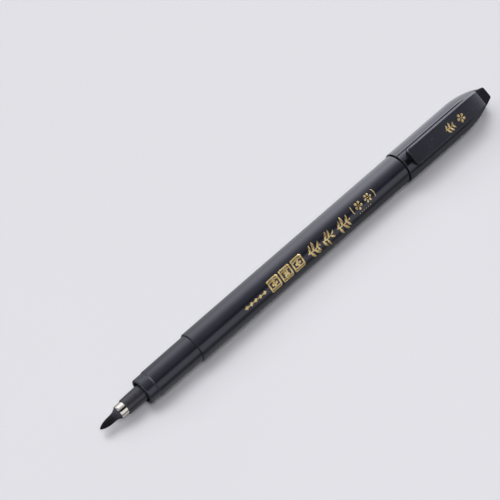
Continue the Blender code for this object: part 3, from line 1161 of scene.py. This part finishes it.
# Each spray: where its stem starts, its length, and its leaves as (share along, turn, length, width).
SPRAYS = [
    (80.2, 4.6, [
        (0.1, -62, 2.4, 0.62),
        (0.22, 58, 2.6, 0.7),
        (0.42, -70, 2.9, 0.72),
        (0.56, 50, 2.7, 0.66),
        (0.74, -48, 2.3, 0.6),
        (0.84, 66, 2.0, 0.55),
        (1.0, 8, 0.5, 0.4),
    ]),
    (86.3, 3.8, [
        (0.06, 64, 2.5, 0.66),
        (0.2, -56, 2.7, 0.7),
        (0.46, 72, 2.8, 0.64),
        (0.6, -66, 2.4, 0.62),
        (0.86, 40, 1.9, 0.55),
        (0.94, -38, 1.7, 0.5),
    ]),
    (92.5, 5.0, [
        (0.05, -52, 2.2, 0.6),
        (0.18, 70, 2.8, 0.72),
        (0.38, -74, 2.9, 0.74),
        (0.52, 54, 2.9, 0.7),
        (0.7, -58, 2.5, 0.64),
        (0.82, 62, 2.3, 0.6),
        (1.0, -12, 0.5, 0.4),
    ]),
]


def make_sprays():
    """Three brush-drawn leaf sprays."""
    sprays = Foil("gold_sprays", on_barrel(17.0))

    def on_stem(share):
        """A point on the waving stem of the spray that is being made."""
        return (start + length * share, 0.22 * math.sin(3.4 * share))

    for start, length, leaves in SPRAYS:
        stem = [on_stem(share) for share in (0.0, 0.3, 0.6, 0.85, 1.0)]
        sprays.stroke(stem, [0.46, 0.42, 0.36, 0.26, 0.1], steps=5)
        for share, turn, size, width in leaves:
            sprays.leaf(*on_stem(share), size, width, turn)
    sprays.finish("barrel")


def make_blossoms():
    """Two blossoms between two arcs."""
    group = Foil("gold_blossoms", on_barrel(2.5))
    arc_height = 1.55
    arc_depth = 0.5
    for side, u in ((-1, 99.9), (1, 109.3)):
        arc = []
        for a in (-1.2, -0.6, 0.0, 0.6, 1.2):
            arc.append((u - side * arc_depth * (1 - math.cos(a)), arc_height * math.sin(a)))
        group.stroke(arc, [0.08, 0.26, 0.34, 0.26, 0.08], steps=5)
    group.blossom(102.6, 0.0, 1.45, 5, 18.0, 0.56)
    group.blossom(106.6, 0.0, 1.45, 6, 0.0, 0.5)
    group.finish("barrel")


def make_dots():
    """A faint row of dots beside the blossoms."""
    dots = Foil("gold_dots", on_barrel(29.0))
    for k in range(6):
        dots.dash(101.7 + 0.9 * k, 0.0, 0.16, 0.04, 0.3, steps=3)
    dots.finish("barrel")


def make_clip_ornament():
    """A spray and a blossom on the clip's face."""
    aside = 0.55 * MM
    face = AXIS_Z + CLIP_TOP + 0.006 * MM

    def place(u, v, height):
        """A point on the clip's flat face: u back from the rim and v towards -Y, in millimetres."""
        return (RIM_X + u * MM, -v * MM - aside, face + height)

    mark = Foil("gold_clip_ornament", place)
    mark.stroke([(17.1, 0.0), (18.7, 0.12), (20.5, 0.0)], [0.3, 0.26, 0.1], steps=6)
    # Where each leaf starts, its turn, its length and its width.
    leaves = (
        (17.3, -64, 1.6, 0.5),
        (17.6, 60, 1.7, 0.52),
        (18.5, -70, 1.8, 0.52),
        (18.8, 62, 1.7, 0.5),
        (19.7, -50, 1.4, 0.46),
        (19.9, 52, 1.3, 0.44),
    )
    for u, turn, size, width in leaves:
        mark.leaf(u, 0.06, size, width, turn)
    mark.blossom(23.9, 0.0, 1.5, 5, 36.0, 0.6)
    mark.finish("clip")


make_lozenges()
make_knots()
make_sprays()
make_blossoms()
make_dots()
make_clip_ornament()


# ------------ floor, light and camera


# The painted light and shade that glossy rays see in place of the floor, near the brush and at the cap:
# distance towards +Y in millimetres, and brightness.
FLOOR_SPAN = 60
FLOOR_AT_BRUSH = [
    (-60, 0.58),
    (-25, 0.5),
    (-12, 0.38),
    (-4, 0.1),
    (4, 0.1),
    (12, 0.65),
    (30, 0.88),
    (60, 0.88),
]
FLOOR_AT_CAP = [
    (-60, 0.4),
    (-25, 0.3),
    (-12, 0.18),
    (-4, 0.04),
    (4, 0.1),
    (10, 1.6),
    (30, 2.4),
    (60, 2.4),
]
# Where along the pen the one gives way to the other.
FLOOR_CHANGE = (-55 * MM, 45 * MM)
FLOOR_TINT = (0.385, 0.39, 0.425)
FLOOR_STRENGTH = 2.5


def mirrored_floor(tree, place, shader):
    """Glossy rays see the floor as a glowing painted field of light and shade, dark on the pen's shaded
    side.
    """
    spot = parts_of(tree, place)
    share = between(tree, spot["Y"], -FLOOR_SPAN * MM, FLOOR_SPAN * MM, 0.0, 1.0)

    def field(stops):
        """The floor's brightness across the pen, as a tinted ramp."""
        colours = []
        for y, level in stops:
            colour = tuple(level * tint for tint in FLOOR_TINT)
            colours.append(((y + FLOOR_SPAN) / (2 * FLOOR_SPAN), colour))
        return ramp(tree, share, colours)

    change = between(tree, spot["X"], *FLOOR_CHANGE, 0.0, 1.0)
    colour = mix(tree, change, field(FLOOR_AT_BRUSH), field(FLOOR_AT_CAP))
    glow = node(tree, "ShaderNodeEmission", {"Color": colour, "Strength": FLOOR_STRENGTH})
    glossy_ray = node(tree, "ShaderNodeLightPath").outputs["Is Glossy Ray"]
    surface = mix_shader(tree, glossy_ray, shader.outputs["BSDF"], glow.outputs["Emission"])
    feed(tree, tree.nodes["Material Output"], {"Surface": surface})


def make_floor():
    """The plain pale floor."""
    made, tree, shader = nodes_of("floor_paint")
    place = object_place(tree)
    tone = two_tone(tree, noise(tree, place, 3.0), (0.8, 0.795, 0.825), (0.83, 0.825, 0.855))
    feed(tree, shader, {"Base Color": tone, "Roughness": 0.6, "Specular IOR Level": 0.25})
    mirrored_floor(tree, place, shader)
    half = 3.0
    corners = [(-half, -half, 0.0), (half, -half, 0.0), (half, half, 0.0), (-half, half, 0.0)]
    mesh = bpy.data.meshes.new("floor")
    mesh.from_pydata(corners, [], [(0, 1, 2, 3)])
    mesh.materials.append(made)
    scene_object("floor", mesh)


# Where the studio's light comes from, as directions from the pen.
KEY = Vector((-0.06, 0.515, 0.857)).normalized()
LOW_KEY = Vector((-0.42, 0.73, 0.68)).normalized()
TOP = Vector((-0.16, 0.12, 1.0)).normalized()
WINDOW = Vector((0.75, 0.65, 0.12)).normalized()
FRONT = Vector((-0.85, 0.5, 0.1)).normalized()
END = Vector((0.93, 0.1, 0.35)).normalized()
# The overhead bank's edges run at this angle to the pen, seen from above, and its side is across them.
BANK_SKEW = math.radians(27)
BANK_SIDE = Vector((-math.sin(BANK_SKEW), -math.cos(BANK_SKEW), 0.0))
# The bank: angle from overhead towards that side in degrees, and brightness.
BANK = [
    (-90, 0.28),
    (-14, 0.24),
    (-5, 0.02),
    (8, 0.02),
    (14, 0.85),
    (46, 0.85),
    (58, 0.32),
    (66, 0.24),
    (90, 0.14),
]


def make_sun(name, direction, spread, strength):
    """A soft sun that is not itself mirrored."""
    data = bpy.data.lights.new(name, "SUN")
    data.energy = strength
    data.angle = math.radians(spread)
    data.color = (0.985, 0.985, 1.0)
    sun = scene_object(name, data)
    sun.rotation_euler = direction.to_track_quat("Z", "Y").to_euler()
    sun.visible_glossy = False
    sun.visible_camera = False


def make_light():
    """A high and a low key light and a top light for matt surfaces. What glossy surfaces mirror is
    the world: a low window, a bright bank beside a dark gap overhead, and weak fills."""
    make_sun("key_light", KEY, 22.0, 1.54)
    make_sun("low_key_light", LOW_KEY, 30.0, 0.84)
    make_sun("top_light", TOP, 20.0, 1.0)
    world = bpy.data.worlds.new("studio")
    bpy.context.scene.world = world
    world.use_nodes = True
    tree = world.node_tree
    tree.nodes.clear()
    ray = node(tree, "ShaderNodeTexCoord").outputs["Generated"]

    def along(direction):
        """How far a ray points in a direction."""
        inputs = {0: ray, 1: direction}
        return node(tree, "ShaderNodeVectorMath", inputs, operation="DOT_PRODUCT").outputs["Value"]

    def toward(direction, power, strength):
        """A round glow about a direction, tighter for a higher power."""
        facing = calc(tree, "MAXIMUM", along(direction), 0.0)
        return calc(tree, "MULTIPLY", calc(tree, "POWER", facing, power), strength)

    def background(colour, strength):
        """A background of one colour, with its strength as a number or a socket."""
        inputs = {"Color": (*colour, 1.0), "Strength": strength}
        return node(tree, "ShaderNodeBackground", inputs).outputs["Background"]

    up = parts_of(tree, ray)["Z"]
    angle = calc(tree, "DEGREES", calc(tree, "ARCTAN2", along(BANK_SIDE), up))
    share = between(tree, angle, -90.0, 90.0, 0.0, 1.0)
    stops = [((degrees + 90.0) / 180.0, (level,) * 3) for degrees, level in BANK]
    mirrored = ramp(tree, share, stops)
    for direction, power, strength in ((WINDOW, 8.0, 5.6), (FRONT, 10.0, 3.0), (END, 14.0, 1.6)):
        mirrored = calc(tree, "ADD", mirrored, toward(direction, power, strength))
    rays = node(tree, "ShaderNodeLightPath").outputs
    lit = background((0.985, 0.985, 1.0), 0.05)
    seen = background((0.95, 0.955, 1.08), mirrored)
    plain = background((0.82, 0.82, 0.85), 1.0)
    surface = mix_shader(tree, rays["Is Glossy Ray"], lit, seen)
    surface = mix_shader(tree, rays["Is Camera Ray"], surface, plain)
    node(tree, "ShaderNodeOutputWorld", {"Surface": surface})


# Where the camera stands and what it looks at, in metres, its turn and its lens in millimetres.
CAMERA_PLACE = Vector((-0.17708, 0.02255, 0.45751))
CAMERA_AIM = Vector((-0.01246, 0.01071, 0.00539))
CAMERA_ROLL = math.radians(-53.75)
CAMERA_LENS = 117.36


def make_camera():
    """The camera, high over the pen and turned so that the pen lies across the picture."""
    data = bpy.data.cameras.new("camera")
    data.lens = CAMERA_LENS
    data.sensor_width = 36.0
    data.clip_start = 0.01
    data.clip_end = 20.0
    camera = scene_object("camera", data)
    back = (CAMERA_PLACE - CAMERA_AIM).normalized()
    right = Vector((0, 0, 1)).cross(back).normalized()
    up = back.cross(right)
    level = Matrix((right, up, back)).transposed()
    turn = Matrix.Rotation(-CAMERA_ROLL, 3, "Z")
    camera.matrix_world = Matrix.Translation(CAMERA_PLACE) @ (level @ turn).to_4x4()
    bpy.context.scene.camera = camera


make_floor()
make_light()
make_camera()
bpy.context.scene.view_settings.view_transform = "Standard"
